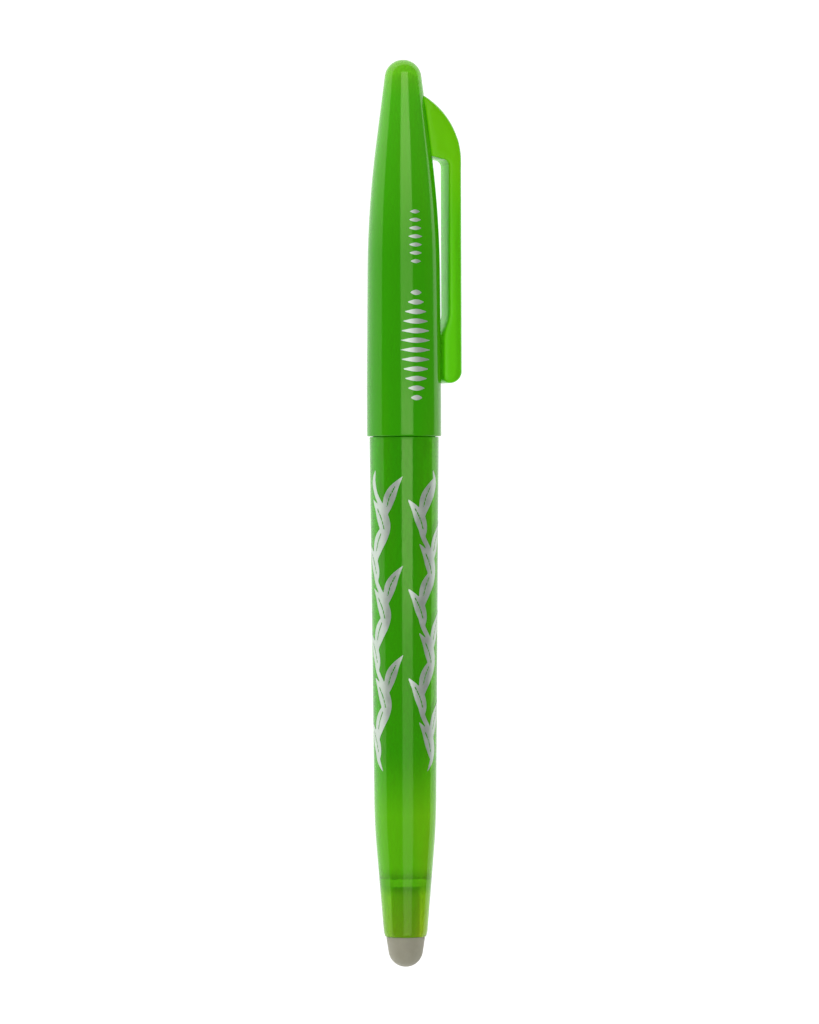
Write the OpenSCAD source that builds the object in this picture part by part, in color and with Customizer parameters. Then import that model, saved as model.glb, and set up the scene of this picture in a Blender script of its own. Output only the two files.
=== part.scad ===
// Capped gel pen with a rubber eraser stud on the barrel's rear end.
// Every sub-part is drawn standing on Z: station 0 is the eraser's crown, stations grow
// toward the cap, and the clip is on the +X side. All lengths are in millimetres.
// place() then lays the pen along +Y with the writing point at the origin.

/* [Overall] */
// Eraser crown to cap crown, with the cap on
pen_length = 143; // [138:0.5:150]
// Eraser crown to the writing point
tip_station = 127; // [126:0.5:128]
// Eraser crown to the shoulder that stops the cap
shoulder_station = 83.5; // [80:0.5:86]
// Gap left between pieces that slide or turn on each other
clearance = 0.05; // [0.03:0.01:0.12]

/* [Barrel] */
// Outer radius just behind the rear chamfer
barrel_rear_r = 3.45; // [3.2:0.05:3.8]
// Outer radius where the rear taper ends
barrel_taper_r = 4.54; // [4.2:0.02:4.8]
// Outer radius at the shoulder
barrel_front_r = 5.475; // [5.2:0.025:5.6]
// Station where the rear taper starts to blend into the long body
barrel_taper_end = 18.6; // [16:0.2:24]
// Length of that blend
barrel_blend = 8; // [4:0.5:14]
// Chamfer length round the rear edge
barrel_chamfer = 0.7; // [0.3:0.1:1.2]
// Radial size of that chamfer
barrel_chamfer_r = 0.25; // [0.1:0.05:0.5]
// Bore radius at the bulkhead
barrel_bore_rear_r = 3.3; // [3.15:0.05:3.4]
// Bore radius ahead of the taper
barrel_bore_mid_r = 4; // [3.7:0.05:4.2]
// Station where the bore's taper ends
bore_taper_end = 30.6; // [26:0.2:36]
// Bore radius behind the female thread
barrel_bore_front_r = 4.4; // [4.3:0.05:4.6]
// Thickness of the bulkhead between eraser socket and bore
bulkhead = 1.2; // [0.8:0.1:2]
// Number of centring ribs behind the refill
rear_ribs = 4; // [3:1:6]
// Thickness of a centring rib
rear_rib_t = 0.8; // [0.5:0.1:1.2]
// Length of a centring rib
rear_rib_len = 9; // [6:0.5:12]
// Depth of a centring rib's foot in the wall
rear_rib_foot = 0.5; // [0.3:0.05:0.6]

/* [Neck] */
// Outer radius of the neck that enters the cap
neck_r = 4.9; // [4.8:0.05:5]
// Length of the neck
neck_len = 4.6; // [4:0.1:6]
// Extra radius of the snap ridge at the neck's front
snap_ridge = 0.08; // [0.04:0.01:0.12]
// Axial width of the snap ridge
snap_width = 0.9; // [0.5:0.1:1.2]
// Gap between the snap ridge and the cap's bead as they pass
snap_play = 0.03; // [0.01:0.01:0.1]
// Length of the lead-in at the neck's front
neck_lead = 0.4; // [0.2:0.1:0.8]

/* [Thread] */
// Axial advance of the section in one turn
thread_pitch = 1.5; // [1:0.1:2]
// Turns of male thread
thread_turns = 4; // [3:1:5]
// Root radius of the male thread
thread_root_r = 3.9; // [3.8:0.05:4]
// Crest radius of the male thread
thread_crest_r = 4.22; // [4.1:0.02:4.3]
// Radial and axial play of the thread
thread_play = 0.15; // [0.08:0.01:0.2]
// Length of the relief groove behind the female thread
thread_relief = 0.6; // [0.4:0.1:1]
// Turns of female thread beyond the male thread's
thread_extra_turns = 2; // [1:1:3]
// Half width of the male thread at its root, as an angle of a turn
tooth_root = 85; // [70:5:90]
// Half width of the male thread at its crest, as an angle of a turn
tooth_crest = 45; // [30:5:60]
// Extra half width of the female groove on each side, as an angle of a turn
tooth_play = 25; // [15:5:35]
// Depth that a thread's foot reaches under the surface that carries it
thread_foot = 0.3; // [0.2:0.05:0.4]

/* [Eraser] */
// Length of the stud that shows
eraser_out = 4.8; // [4:0.1:6]
// Radius where the stud meets the barrel
eraser_base_r = 3.07; // [2.9:0.01:3.2]
// Radius of the spherical crown
eraser_crown_r = 2.72; // [2.5:0.02:2.9]
// Half angle of the cone under the crown
eraser_cone_angle = 8.4; // [5:0.2:12]
// Radius of the stem in the socket
eraser_stem_r = 2.2; // [1.8:0.05:2.4]
// Length of the stem
eraser_stem_len = 7.8; // [5:0.1:9]
// Room between the stem's end and the socket's bottom
socket_play = 0.2; // [0.1:0.05:0.5]

/* [Cap] */
// Outer radius of the straight band at the mouth
cap_r = 5.88; // [5.8:0.01:6.2]
// Length of that band
cap_band = 8; // [6:0.1:12]
// Gap between cap mouth and shoulder
cap_gap = 0.1; // [0.05:0.05:0.3]
// Outer radius where the side starts to curve in
cap_side_r = 5.725; // [5.5:0.025:5.8]
// Mouth to the start of the curve
cap_side_len = 25.8; // [20:0.2:30]
// Length of the curve
cap_blend = 20.4; // [10:0.2:26]
// Half angle of the cone under the crown
cap_cone_angle = 7.45; // [5:0.05:10]
// Radius of the spherical crown
cap_crown_r = 2.92; // [2.6:0.02:3.2]
// Wall of the curved part
cap_wall = 0.95; // [0.8:0.05:1.2]
// Bore radius behind the mouth
cap_bore_r = 5.12; // [5.05:0.01:5.2]
// Solid length at the crown
cap_crown_solid = 2.3; // [1.5:0.1:4]
// Chamfer at the mouth
cap_chamfer = 0.3; // [0.1:0.05:0.5]
// Mouth to the middle of the snap bead
bead_offset = 2.1; // [1.5:0.1:2.5]

/* [Inner cap] */
// Station of the inner cap's mouth
inner_cap_start = 115.6; // [114.8:0.2:117]
// Length of the inner cap with its stalk
inner_cap_len = 17.8; // [15:0.2:18]
// Wall of the inner cap
inner_cap_wall = 0.7; // [0.5:0.05:1]
// Length of the mouth flange
inner_cap_flange = 1.2; // [0.8:0.1:2]
// Bore radius at the mouth, a squeeze on the nose
inner_cap_mouth_r = 3.77; // [3.6:0.01:3.9]
// Length of the cone between mouth and cup
inner_cap_cone = 9; // [7:0.2:10]
// Bore radius of the cup
inner_cap_cup_r = 2.35; // [2:0.05:2.6]
// Radius of the stalk behind the cup
inner_cap_stalk_r = 1.9; // [1.2:0.1:2.4]
// Length of the stalk
inner_cap_stalk = 3; // [1:0.2:4]

/* [Clip] */
// Pen axis to the outer face of the clip
clip_face = 9.35; // [8.6:0.05:9.8]
// Thickness of the arm
clip_t = 2.5; // [1.4:0.1:2.8]
// Width of the arm
clip_w = 4.8; // [4:0.1:6]
// Radius of the rounded outer side of the arm
clip_round_r = 4.5; // [2.5:0.1:6]
// Free end of the arm, as a distance from the cap's mouth
clip_end = 8.4; // [6:0.1:14]
// Arm root, where the arm leaves the fin
clip_root = 126.25; // [120:0.25:128]
// Radius of the shoulder that curves down into the cap
fin_r = 12; // [9:0.2:16]
// Sweep of that shoulder
fin_sweep = 66; // [50:1:70]
// Arm root to the centre of that shoulder
fin_rise = 0.7; // [0:0.1:2]
// Outer corner radius at the free end
clip_toe_r = 2; // [1:0.1:2.4]
// Inner corner radius at the free end
clip_heel_r = 0.9; // [0.4:0.1:1.2]
// Length of the pad that grips a pocket edge
pad_len = 7; // [4:0.5:10]
// Length of the ramp from the pad to the arm
pad_ramp = 4; // [2:0.5:6]
// Gap between the pad and the cap at rest
pad_gap = 0.07; // [0.05:0.01:0.3]

/* [Grip section] */
// Radius of the collar between neck and sleeve
collar_r = 4.75; // [4.5:0.05:4.85]
// Length of the collar
collar_len = 3.8; // [2:0.1:6]
// Radius of the core under the sleeve
grip_core_r = 3.95; // [3.8:0.05:4.1]
// Sleeve radius next to the collar
sleeve_rear_r = 4.7; // [4.5:0.05:4.8]
// Sleeve radius at its front end
sleeve_front_r = 4.35; // [4.2:0.05:4.5]
// Length of the sleeve
sleeve_len = 22; // [18:0.5:23]
// Number of finger grooves in the sleeve
sleeve_grooves = 7; // [3:1:9]
// Spacing of the finger grooves
sleeve_groove_pitch = 1.9; // [1.5:0.1:2.5]
// Radius of a finger groove's bottom
sleeve_groove_r = 0.5; // [0.3:0.05:0.8]
// Depth of a finger groove
sleeve_groove_depth = 0.22; // [0.1:0.02:0.3]
// Last finger groove to the sleeve's front
sleeve_margin = 2.2; // [1.5:0.1:4]
// Bore of the section round the refill
section_bore_r = 3.15; // [3.1:0.01:3.3]
// Station of the seat that stops the refill's flange
refill_seat = 107.6; // [106:0.1:109]

/* [Nose] */
// Radius of the nose's rear end
nose_rear_r = 4.15; // [4:0.05:4.3]
// Radius of the nose's front end
nose_front_r = 1.65; // [1.5:0.05:1.9]
// Length of the nose
nose_len = 9.5; // [8:0.1:10]
// Spigot that carries the nose
nose_spigot_r = 2.9; // [2.7:0.05:3.1]
// Length of the spigot
nose_spigot_len = 4; // [3:0.1:5]
// Length of the narrow bore at the nose's front
nose_bore_len = 2; // [1:0.1:3]
// Length of the step between the nose's spigot recess and its cone
nose_step_len = 1.4; // [1:0.1:2]

/* [Refill] */
// Outer radius of the ink tube
tube_r = 3.05; // [2.9:0.01:3.1]
// Wall of the ink tube
tube_wall = 0.6; // [0.4:0.05:0.8]
// Rear end of the ink tube
tube_start = 22.5; // [20:0.5:30]
// Front end of the ink tube
tube_end = 106; // [100:0.5:106]
// Radius of the tail plug's stem
tail_r = 1.5; // [1:0.05:2]
// Rear end of the tail plug
tail_start = 16.2; // [15:0.1:18]
// Radius of the air vent through the plug
vent_r = 0.4; // [0.2:0.05:0.6]
// Length of the flange that covers the tube's end
plug_flange = 1; // [0.5:0.1:1.5]
// Length of the plug inside the tube
plug_len = 3.5; // [2:0.1:5]
// Station of the boundary between ink and follower grease
ink_start = 45; // [40:1:100]
// Length of the follower grease
follower_len = 6; // [4:0.5:10]
// Depth of the dish in the grease's rear face
follower_dish = 0.6; // [0.2:0.1:1]
// Hairline between ink and grease
ink_gap = 0.02; // [0.01:0.01:0.05]

/* [Writing tip] */
// Radius of the writing ball
ball_r = 0.35; // [0.25:0.05:0.5]
// Radius of the metal shank
shank_r = 1.15; // [1:0.05:1.25]
// Length of the metal tip
tip_len = 15; // [12:0.5:16]
// Length of the writing cone
cone_len = 2.6; // [2:0.1:3.5]
// Radius of the cone's end round the ball
cone_end_r = 0.45; // [0.4:0.01:0.6]
// How far the ball stands out of the tip
ball_out = 0.15; // [0.1:0.01:0.2]
// Radius of the ink channel in the shank
channel_r = 0.65; // [0.4:0.05:0.8]
// Radius of the ink channel behind the ball
feed_r = 0.2; // [0.15:0.05:0.3]
// Length of the shank inside its holder
holder_socket = 7; // [5:0.5:8]
// Radius of the plastic holder ahead of the seat
holder_r = 2.1; // [1.9:0.05:2.2]
// Play round the holder and the shank
holder_play = 0.1; // [0.05:0.01:0.2]
// Play between the ball and its socket
ball_play = 0.01; // [0.005:0.005:0.02]

/* [Show] */
// Sub-part to draw

/* [Hidden] */
$fn = 96;
// Overlap that keeps joined solids from merely touching
eps = 0.02;
// Hairline that stands for a push fit between two pieces of one body
push_fit = 0.01;
// How far a cut passes beyond the open face that it starts from
through = 1;
// Small chamfer of a moulded edge
edge = 0.2;
// Straight steps that stand for one curve of a turned profile
curve_steps = 10;
// Faces per turn of the moulded thread
thread_faces = 18;

// Stations worked out from the lengths above
neck_end = shoulder_station + neck_len;
cap_mouth = shoulder_station + cap_gap;
cap_side_end = cap_mouth + cap_side_len;
cap_blend_end = cap_side_end + cap_blend;
crown_centre = pen_length - cap_crown_r;
crown_start = crown_centre + cap_crown_r * sin(cap_cone_angle);
crown_start_r = cap_crown_r * cos(cap_cone_angle);
collar_start = neck_end + clearance;
sleeve_start = collar_start + collar_len;
sleeve_end = sleeve_start + sleeve_len;
nose_start = sleeve_end + clearance;
nose_end = nose_start + nose_len;
socket_end = eraser_out + eraser_stem_len + socket_play;
bore_start = socket_end + bulkhead;
thread_start = shoulder_station - 3.5;
tube_bore_r = tube_r - tube_wall;
plug_r = tube_bore_r - push_fit;
ball_centre = tip_station - ball_r;
toe = cap_mouth + clip_end;
fin_x = clip_face - fin_r;
fin_s = clip_root + fin_rise;
clip_inner = clip_face - clip_t;
pad_face = cap_r + pad_gap;
groove_root_r = thread_root_r + thread_play;
spigot_end = nose_start + nose_spigot_len;
shank_start = tip_station - tip_len;
tip_front = tip_station - ball_out;

// Radius at the end of a blend that starts at radius r0 with slope m0, runs for len, and
// then continues straight to radius r1 over the distance rest.
function blend_end_r(r0, m0, len, r1, rest) =
    (r0 + m0 * len / 2 + r1 * len / (2 * rest)) / (1 + len / (2 * rest));

// Points of such a blend, from slope m0 to slope m1.
function blend(s0, r0, m0, m1, len) =
    [for (i = [0:curve_steps])
        let (t = len * i / curve_steps)
        [r0 + m0 * t + (m1 - m0) * t * t / (2 * len), s0 + t]];

// Points of an arc round [x, y].
function arc(x, y, r, a0, a1, steps) =
    [for (i = [0:steps])
        let (a = a0 + (a1 - a0) * i / steps)
        [x + r * cos(a), y + r * sin(a)]];

// Slopes of the barrel's and the cap's outer sides.
barrel_m0 = (barrel_taper_r - barrel_rear_r) / (barrel_taper_end - eraser_out - barrel_chamfer);
barrel_rest = shoulder_station - barrel_taper_end - barrel_blend;
barrel_blend_r = blend_end_r(barrel_taper_r, barrel_m0, barrel_blend, barrel_front_r, barrel_rest);
barrel_m1 = (barrel_front_r - barrel_blend_r) / barrel_rest;
cap_m0 = (cap_side_r - cap_r) / (cap_side_len - cap_band);
cap_rest = crown_start - cap_blend_end;
cap_blend_r = blend_end_r(cap_side_r, cap_m0, cap_blend, crown_start_r, cap_rest);
cap_m1 = (crown_start_r - cap_blend_r) / cap_rest;

// Bore radius of the cap at a station within the blend.
function cap_bore_at(s) =
    let (t = s - cap_side_end)
    cap_side_r - cap_wall + cap_m0 * t + (cap_m1 - cap_m0) * t * t / (2 * cap_blend);

// Places a sub-part drawn on Z into the pen's frame.
module place() {
    rotate([-90, 0, 0])
        translate([0, 0, -tip_station])
            children();
}

// Solid of revolution about the pen's axis from [radius, station] points.
module turned(points) {
    rotate_extrude()
        polygon(points);
}

// Ring between two radii.
module ring(r_out, r_in, s0, s1) {
    turned([[r_in, s0], [r_out, s0], [r_out, s1], [r_in, s1]]);
}

// One continuous helical rib. foot and crest are its half widths, as angles of a turn.
module rib(r_foot, r_crest, foot, crest, s0, turns) {
    translate([0, 0, s0])
        linear_extrude(height = turns * thread_pitch, twist = -360 * turns,
                       slices = turns * thread_faces, convexity = 8, $fn = 0)
            polygon(concat(arc(0, 0, r_foot, foot, -foot, curve_steps),
                           arc(0, 0, r_crest, -crest, crest, curve_steps)));
}

// Section of the clip's arm, flat inside and rounded outside; x grows outward.
module arm_section(x_out) {
    intersection() {
        translate([x_out - clip_t, -clip_w / 2])
            square([clip_t, clip_w]);
        translate([x_out - clip_round_r, 0])
            circle(r = clip_round_r);
    }
}

// Fin that joins the clip to the cap: a swept shoulder and the web under it.
module fin() {
    translate([fin_x, 0, fin_s])
        rotate([90, 0, 0])
            rotate_extrude(angle = fin_sweep)
                arm_section(fin_r);
    translate([0, 0, clip_root])
        linear_extrude(height = fin_s - clip_root)
            arm_section(clip_face);
    notch_r = (clip_inner - cap_bore_at(clip_root) - cap_wall) / 2;
    web_start_r = cap_crown_r / 2;
    rotate([90, 0, 0])
        linear_extrude(height = clip_w, center = true)
            difference() {
                intersection() {
                    translate([fin_x, fin_s])
                        circle(r = fin_r - clip_t / 2);
                    translate([web_start_r, clip_root])
                        square([clip_face, fin_r]);
                }
                translate([clip_inner - notch_r, clip_root])
                    circle(r = notch_r);
            }
}

// Cap with the fin root of its clip, moulded in one piece.
module cap_shell() {
    dome_r = cap_crown_r - cap_wall;
    dome_centre = pen_length - cap_crown_solid - dome_r;
    bead_r = neck_r + snap_ridge + snap_play;
    bead = cap_mouth + bead_offset;
    color([0.27, 0.72, 0.1, 0.6])
        place()
            difference() {
                union() {
                    turned(concat(
                        [[0, cap_mouth], [cap_r - cap_chamfer, cap_mouth],
                         [cap_r, cap_mouth + cap_chamfer], [cap_r, cap_mouth + cap_band]],
                        blend(cap_side_end, cap_side_r, cap_m0, cap_m1, cap_blend),
                        arc(0, crown_centre, cap_crown_r, cap_cone_angle, 90, curve_steps)));
                    fin();
                }
                turned(concat(
                    [[0, cap_mouth - through], [cap_bore_r + cap_chamfer, cap_mouth - through],
                     [cap_bore_r + cap_chamfer, cap_mouth],
                     [cap_bore_r, cap_mouth + cap_chamfer], [cap_bore_r, bead - snap_width],
                     [bead_r, bead - snap_width / 3], [bead_r, bead + snap_width / 3],
                     [cap_bore_r, bead + snap_width], [cap_bore_r, cap_mouth + cap_band]],
                    blend(cap_side_end, cap_side_r - cap_wall, cap_m0, cap_m1, cap_blend),
                    arc(0, dome_centre, dome_r, cap_cone_angle, 90, curve_steps)));
            }
}

// Inner cap that seals round the nose and keeps the tip from drying.
module inner_cap() {
    start = inner_cap_start;
    flange_end = start + inner_cap_flange;
    flange_r = cap_bore_at(flange_end) - clearance;
    cone_end = start + inner_cap_cone;
    end = start + inner_cap_len;
    cup_end = end - inner_cap_stalk;
    mouth_wall = inner_cap_wall - edge;
    color([0.55, 0.82, 0.35, 0.8])
        place()
            difference() {
                turned([[0, start], [flange_r, start], [flange_r, flange_end],
                        [inner_cap_mouth_r + mouth_wall, flange_end],
                        [inner_cap_cup_r + inner_cap_wall, cone_end],
                        [inner_cap_cup_r + inner_cap_wall, cup_end],
                        [inner_cap_stalk_r, cup_end + 2 * edge],
                        [inner_cap_stalk_r, end], [0, end]]);
                turned([[0, start - through], [inner_cap_mouth_r + edge, start - through],
                        [inner_cap_mouth_r, start + 2 * edge],
                        [inner_cap_cup_r, cone_end - 2 * edge],
                        [inner_cap_cup_r, cup_end - inner_cap_wall],
                        [0, cup_end - edge]]);
            }
}

// Clip arm with the pad at its free end.
module clip() {
    color([0.3, 0.75, 0.12, 0.7])
        place()
            intersection() {
                rotate([90, 0, 0])
                    linear_extrude(height = clip_w, center = true)
                        polygon(concat(
                            arc(clip_face - clip_toe_r, toe + clip_toe_r, clip_toe_r,
                                -90, 0, curve_steps),
                            [[clip_face, clip_root], [clip_inner, clip_root],
                             [clip_inner, toe + pad_len + pad_ramp],
                             [pad_face, toe + pad_len]],
                            arc(pad_face + clip_heel_r, toe + clip_heel_r, clip_heel_r,
                                180, 270, curve_steps)));
                translate([0, 0, toe - through])
                    linear_extrude(height = clip_root - toe + 2 * through)
                        union() {
                            arm_section(clip_face);
                            translate([pad_face - through, -clip_w / 2])
                                square([clip_inner - pad_face + through + eps, clip_w]);
                        }
            }
}

// Barrel with the eraser socket behind its bulkhead and the female thread in its neck.
module barrel() {
    rear = eraser_out;
    ridge_end = neck_end - neck_lead;
    rib_w = barrel_bore_rear_r - tube_r + rear_rib_foot;
    color([0.22, 0.65, 0.08, 0.7])
        place()
            union() {
                difference() {
                    turned(concat(
                        [[0, rear], [barrel_rear_r - barrel_chamfer_r, rear],
                         [barrel_rear_r, rear + barrel_chamfer]],
                        blend(barrel_taper_end, barrel_taper_r, barrel_m0, barrel_m1,
                              barrel_blend),
                        [[barrel_front_r, shoulder_station], [neck_r, shoulder_station],
                         [neck_r, ridge_end - snap_width],
                         [neck_r + snap_ridge, ridge_end - snap_width / 2],
                         [neck_r + snap_ridge, ridge_end],
                         [neck_r - neck_lead / 2, neck_end], [0, neck_end]]));
                    turned([[0, rear - through], [eraser_stem_r + clearance, rear - through],
                            [eraser_stem_r + clearance, socket_end], [0, socket_end]]);
                    turned([[0, bore_start], [barrel_bore_rear_r, bore_start],
                            [barrel_bore_mid_r, bore_taper_end],
                            [barrel_bore_front_r, thread_start],
                            [groove_root_r, thread_start],
                            [groove_root_r, neck_end + through], [0, neck_end + through]]);
                    rib(groove_root_r - thread_foot, thread_crest_r + thread_play,
                        tooth_root + tooth_play, tooth_crest + tooth_play,
                        thread_start - thread_relief, thread_turns + thread_extra_turns);
                }
                for (i = [0:rear_ribs - 1])
                    rotate([0, 0, 360 * (i + 0.5) / rear_ribs])
                        translate([tube_r + clearance, -rear_rib_t / 2, bore_start - eps])
                            cube([rib_w, rear_rib_t, rear_rib_len]);
            }
}

// Rubber eraser stud with its stem.
module eraser() {
    base = eraser_out - push_fit;
    bottom = eraser_out + eraser_stem_len;
    taper = 1;
    color([0.6, 0.6, 0.54])
        place()
            turned(concat(
                arc(0, eraser_crown_r, eraser_crown_r, -90, -eraser_cone_angle, curve_steps),
                [[eraser_base_r, base], [eraser_stem_r, base],
                 [eraser_stem_r, bottom - taper], [eraser_stem_r - 2 * edge, bottom],
                 [0, bottom]]));
}

// Core of the grip section: thread, collar, seat for the sleeve, spigot for the nose.
module grip_core() {
    start = thread_start + edge;
    front_bore_r = holder_r + holder_play;
    color([0.2, 0.55, 0.12])
        place()
            difference() {
                union() {
                    turned([[0, start], [thread_root_r - edge, start],
                            [thread_root_r, start + edge], [thread_root_r, collar_start],
                            [collar_r - edge, collar_start], [collar_r, collar_start + edge],
                            [collar_r, sleeve_start], [grip_core_r, sleeve_start],
                            [grip_core_r, sleeve_end], [nose_spigot_r, sleeve_end],
                            [nose_spigot_r, spigot_end], [0, spigot_end]]);
                    rib(thread_root_r - thread_foot, thread_crest_r, tooth_root, tooth_crest,
                        thread_start - thread_relief + thread_pitch, thread_turns);
                }
                turned([[0, start - through], [section_bore_r, start - through],
                        [section_bore_r, refill_seat], [front_bore_r, refill_seat],
                        [front_bore_r, spigot_end + through], [0, spigot_end + through]]);
            }
}

// Rubber sleeve with shallow finger grooves.
module grip_sleeve() {
    bore_r = grip_core_r + push_fit;
    rear = sleeve_start + push_fit;
    first = sleeve_end - sleeve_margin - (sleeve_grooves - 1) * sleeve_groove_pitch;
    slope = (sleeve_front_r - sleeve_rear_r) / sleeve_len;
    color([0.25, 0.25, 0.26])
        place()
            rotate_extrude()
                difference() {
                    polygon([[bore_r, rear], [sleeve_rear_r - edge, rear],
                             [sleeve_rear_r, rear + edge], [sleeve_front_r, sleeve_end - edge],
                             [sleeve_front_r - edge, sleeve_end], [bore_r, sleeve_end]]);
                    for (i = [0:sleeve_grooves - 1]) {
                        s = first + i * sleeve_groove_pitch;
                        r = sleeve_rear_r + (s - sleeve_start) * slope;
                        translate([r + sleeve_groove_r - sleeve_groove_depth, s])
                            circle(r = sleeve_groove_r);
                    }
                }
}

// Nose cone in front of the sleeve.
module nose_cone() {
    recess_r = nose_spigot_r + 2 * push_fit;
    recess_end = spigot_end + edge;
    throat_r = holder_r + holder_play;
    front_bore_r = shank_r + holder_play;
    color([0.2, 0.6, 0.1])
        place()
            turned([[recess_r, nose_start], [nose_rear_r - edge, nose_start],
                    [nose_rear_r, nose_start + edge],
                    [nose_front_r, nose_end - edge], [nose_front_r - edge, nose_end],
                    [front_bore_r, nose_end], [front_bore_r, nose_end - nose_bore_len],
                    [throat_r, recess_end + nose_step_len], [throat_r, recess_end],
                    [recess_r, recess_end]]);
}

// Ink tube of the refill.
module refill_tube() {
    color([0.85, 0.88, 0.86, 0.5])
        place()
            ring(tube_r, tube_bore_r, tube_start, tube_end);
}

// Plug that closes the tube's rear end, with an air vent and a hollow round it.
module tail_plug() {
    flange_start = tube_start - plug_flange;
    plug_end = tube_start + plug_len;
    vent_wall = 0.5;
    hollow_r = plug_r - 3 * edge - eps;
    color([0.75, 0.78, 0.76])
        place()
            difference() {
                turned([[vent_r, tail_start], [tail_r - edge, tail_start],
                        [tail_r, tail_start + edge], [tail_r, flange_start],
                        [tube_r, flange_start], [tube_r, tube_start - push_fit],
                        [plug_r, tube_start - push_fit], [plug_r, plug_end],
                        [vent_r, plug_end]]);
                ring(hollow_r, vent_r + vent_wall, tube_start + plug_flange, plug_end + through);
            }
}

// Column of gel ink.
module gel_ink() {
    color([0.15, 0.6, 0.15])
        place()
            ring(plug_r, 0, ink_start, tube_end - plug_len - clearance);
}

// Clear grease that follows the ink down the tube.
module follower() {
    rear = ink_start - follower_len;
    front = ink_start - ink_gap;
    r = tube_bore_r - clearance;
    color([0.85, 0.85, 0.7, 0.6])
        place()
            turned([[0, rear + follower_dish], [r - edge, rear], [r, rear], [r, front],
                    [0, front]]);
}

// Plastic holder that joins the metal tip to the tube.
module tip_holder() {
    bore_r = channel_r + clearance;
    flange_end = refill_seat - 2 * push_fit;
    plug_start = tube_end - plug_len;
    front = shank_start + holder_socket;
    cone_start = spigot_end - nose_bore_len;
    front_wall = 0.35;
    color([0.88, 0.88, 0.86])
        place()
            turned([[bore_r, plug_start], [plug_r, plug_start],
                    [plug_r, tube_end + push_fit], [tube_r, tube_end + push_fit],
                    [tube_r, flange_end], [holder_r, flange_end], [holder_r, cone_start],
                    [shank_r + front_wall, front], [shank_r, front], [shank_r, shank_start],
                    [bore_r, shank_start]]);
}

// Metal writing tip with its ball socket.
module metal_tip() {
    cone_start = tip_front - cone_len;
    lip = 0.1;
    color([0.78, 0.79, 0.8])
        place()
            difference() {
                turned([[0, shank_start], [shank_r, shank_start], [shank_r, cone_start],
                        [cone_end_r, tip_front - lip], [cone_end_r - lip, tip_front],
                        [0, tip_front]]);
                turned([[0, shank_start - through], [channel_r, shank_start - through],
                        [channel_r, cone_start], [feed_r, cone_start + channel_r - feed_r],
                        [feed_r, ball_centre], [0, ball_centre]]);
                translate([0, 0, ball_centre])
                    sphere(r = ball_r + ball_play);
            }
}

// Ball that rolls in the socket.
module writing_ball() {
    color([0.6, 0.62, 0.65])
        place()
            translate([0, 0, ball_centre])
                sphere(r = ball_r);
}

cap_shell();
inner_cap();
clip();
barrel();
eraser();
grip_core();
grip_sleeve();
nose_cone();
refill_tube();
tail_plug();
gel_ink();
follower();
tip_holder();
metal_tip();
writing_ball();
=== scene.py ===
import math

import bmesh
import bpy
import numpy as np
from mathutils import Matrix, Vector


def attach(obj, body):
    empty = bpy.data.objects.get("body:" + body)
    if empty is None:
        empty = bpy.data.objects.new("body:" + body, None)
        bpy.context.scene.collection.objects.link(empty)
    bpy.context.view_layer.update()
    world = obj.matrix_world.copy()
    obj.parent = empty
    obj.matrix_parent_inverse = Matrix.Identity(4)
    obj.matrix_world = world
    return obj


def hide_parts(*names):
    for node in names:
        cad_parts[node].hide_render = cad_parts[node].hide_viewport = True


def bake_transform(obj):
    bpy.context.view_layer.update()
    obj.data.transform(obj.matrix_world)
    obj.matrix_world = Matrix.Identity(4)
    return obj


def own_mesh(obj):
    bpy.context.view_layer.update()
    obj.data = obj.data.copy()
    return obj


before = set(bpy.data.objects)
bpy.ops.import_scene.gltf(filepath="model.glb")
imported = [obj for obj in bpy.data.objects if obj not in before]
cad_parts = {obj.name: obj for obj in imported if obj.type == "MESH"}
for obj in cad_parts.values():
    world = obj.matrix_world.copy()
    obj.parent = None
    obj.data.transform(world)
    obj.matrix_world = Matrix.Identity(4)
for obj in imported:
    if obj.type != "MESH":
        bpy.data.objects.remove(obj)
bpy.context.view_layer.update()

# Stations run along the pen in millimetres: 0 at the eraser's crown, 143 at the cap's crown.
# The writing point, at station 127, is the row frame's origin, and the pen points along +Y.
MM = 0.001
TIP = 127.0
LENGTH = 143.0
TURN = math.radians(17.0)  # the clip is turned this far away from the camera
RIGHT = np.array([math.cos(TURN), 0.0, math.sin(TURN)])
FACING = np.array([-math.sin(TURN), 0.0, math.cos(TURN)])


def at(x, s, z=0.0):
    """The point at x and z millimetres and station s, in metres in the row frame."""
    return (x * MM, (s - TIP) * MM, z * MM)


# ---------------------------------------------------------------- profiles

def arc_run(cs, cr, r, a0, a1, n=10):
    """Arc round (station cs, radius cr); angle 0 points outward, 90 toward the cap's crown."""
    return [(cs + r * math.sin(math.radians(a)), cr + r * math.cos(math.radians(a)))
            for a in np.linspace(a0, a1, n + 1)]


def end_of_blend(r0, m0, length, r1, rest):
    """Radius at the end of a parabolic run of the given length and starting slope.

    The run ends on the straight line that reaches radius r1 after a further rest.
    """
    return (r0 + m0 * length / 2 + r1 * length / (2 * rest)) / (1 + length / (2 * rest))


# Barrel: a straight taper from the tail, a blend, and a nearly straight body up to the mouth.
TAIL, TAIL_R = 5.5, 3.45
BLEND, BLEND_R, BLEND_LEN = 18.6, 4.54, 8.0
BARREL_MOUTH, BARREL_MOUTH_R = 83.5, 5.475
BARREL_M0 = (BLEND_R - TAIL_R) / (BLEND - TAIL)
BARREL_REST = BARREL_MOUTH - BLEND - BLEND_LEN
BARREL_R1 = end_of_blend(BLEND_R, BARREL_M0, BLEND_LEN, BARREL_MOUTH_R, BARREL_REST)
BARREL_M1 = (BARREL_MOUTH_R - BARREL_R1) / BARREL_REST


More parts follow.
